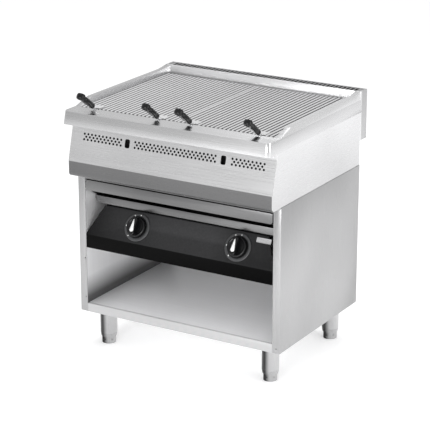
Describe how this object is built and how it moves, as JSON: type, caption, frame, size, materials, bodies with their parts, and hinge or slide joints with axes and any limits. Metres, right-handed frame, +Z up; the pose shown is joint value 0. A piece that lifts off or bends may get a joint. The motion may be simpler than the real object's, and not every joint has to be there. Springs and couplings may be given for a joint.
{
  "type": "charbroiler grill",
  "caption": "Free-standing gas charbroiler grill: lift-up bar grates with black handles, slanted control panel, drip drawer and open cabinet on adjustable legs.",
  "frame": {"origin": "on the floor at the centre of the overall box's footprint", "axes": "+Z up, the front with the knobs faces -Y, +X to the right when facing the back"},
  "size_m": [0.8, 0.7122, 0.9458],
  "materials": {
    "satin_steel": "brushed",
    "bar_steel": "polished",
    "heat_steel": "heat-tinted satin",
    "bakelite": "gloss",
    "console_black": "satin",
    "pointer_white": "gloss",
    "badge_silver": "satin",
    "valve_brass": "machined",
    "zinc_steel": "zinc plated",
    "pipe_aluminium": "drawn"
  },
  "bodies": {
    "frame": {"worktop": "satin_steel", "flue_duct": "satin_steel", "flue_grille": "satin_steel", "broiler_side_left": "satin_steel", "broiler_side_right": "satin_steel", "front_panel": "satin_steel", "broiler_back": "satin_steel", "firebox_liner": "heat_steel", "fat_funnel": "satin_steel", "grate_rest_bar": "bar_steel", "grate_cradle_rail": "bar_steel", "burner_left": "heat_steel", "burner_right": "heat_steel", "radiant_left": "heat_steel", "radiant_right": "heat_steel", "feed_pipe_left": "pipe_aluminium", "feed_pipe_right": "pipe_aluminium", "manifold": "zinc_steel", "gas_inlet": "zinc_steel", "valve_body_left": "valve_brass", "valve_body_right": "valve_brass", "bezel_left": "console_black", "bezel_right": "console_black", "console_panel": "console_black", "badge_plate": "badge_silver", "cabinet_ceiling": "satin_steel", "runner_left": "satin_steel", "runner_right": "satin_steel", "cabinet_side_left": "satin_steel", "cabinet_side_right": "satin_steel", "cabinet_lining_left": "satin_steel", "cabinet_lining_right": "satin_steel", "cabinet_floor": "satin_steel", "cabinet_back": "satin_steel", "front_cross_rail": "satin_steel", "leg_front_left": "satin_steel", "leg_front_right": "satin_steel", "leg_rear_left": "satin_steel", "leg_rear_right": "satin_steel", "leg_bolts": "zinc_steel"},
    "left_grate": {"grate_left": "bar_steel", "grip_left_inner": "bakelite", "grip_left_outer": "bakelite"},
    "right_grate": {"grate_right": "bar_steel", "grip_right_inner": "bakelite", "grip_right_outer": "bakelite"},
    "drawer": {"drawer_front": "satin_steel", "drip_tray": "satin_steel"},
    "left_plug": {"valve_plug_left": "valve_brass"},
    "right_plug": {"valve_plug_right": "valve_brass"},
    "left_knob": {"knob_left": "bakelite", "knob_pointer_left": "pointer_white", "valve_stem_left": "zinc_steel"},
    "right_knob": {"knob_right": "bakelite", "knob_pointer_right": "pointer_white", "valve_stem_right": "zinc_steel"},
    "screw_foot_front_left": {"foot_front_left": "satin_steel"},
    "screw_foot_front_right": {"foot_front_right": "satin_steel"},
    "screw_foot_rear_left": {"foot_rear_left": "satin_steel"},
    "screw_foot_rear_right": {"foot_rear_right": "satin_steel"}
  },
  "joints": [
    {"name": "left_grate_lift", "type": "hinge", "parent": "frame", "child": "left_grate", "pos_m": [0, 0.27271, 0.86145], "axis": [-1, 0, 0], "range_deg": [0, 75]},
    {"name": "right_grate_lift", "type": "hinge", "parent": "frame", "child": "right_grate", "pos_m": [0, 0.27271, 0.86145], "axis": [-1, 0, 0], "range_deg": [0, 75]},
    {"name": "drawer_slide", "type": "slide", "parent": "frame", "child": "drawer", "axis": [0, -1, 0], "range_m": [0, 0.38]},
    {"name": "left_valve_turn", "type": "hinge", "parent": "frame", "child": "left_plug", "pos_m": [-0.175, -0.2302, 0.46538], "axis": [0, -0.8737, 0.4864], "range_deg": [0, 142]},
    {"name": "left_knob_push", "type": "slide", "parent": "left_plug", "child": "left_knob", "axis": [0, 0.8737, -0.4864], "range_m": [0, 0.004], "stiffness_N_per_m": 800, "springref_m": -0.004},
    {"name": "right_valve_turn", "type": "hinge", "parent": "frame", "child": "right_plug", "pos_m": [0.223, -0.2302, 0.46538], "axis": [0, -0.8737, 0.4864], "range_deg": [0, 142]},
    {"name": "right_knob_push", "type": "slide", "parent": "right_plug", "child": "right_knob", "axis": [0, 0.8737, -0.4864], "range_m": [0, 0.004], "stiffness_N_per_m": 800, "springref_m": -0.004},
    {"name": "foot_adjust_front_left", "type": "slide", "parent": "frame", "child": "screw_foot_front_left", "axis": [0, 0, -1], "range_m": [0, 0.03]},
    {"name": "foot_adjust_front_right", "type": "slide", "parent": "frame", "child": "screw_foot_front_right", "axis": [0, 0, -1], "range_m": [0, 0.03]},
    {"name": "foot_adjust_rear_left", "type": "slide", "parent": "frame", "child": "screw_foot_rear_left", "axis": [0, 0, -1], "range_m": [0, 0.03]},
    {"name": "foot_adjust_rear_right", "type": "slide", "parent": "frame", "child": "screw_foot_rear_right", "axis": [0, 0, -1], "range_m": [0, 0.03]}
  ]
}
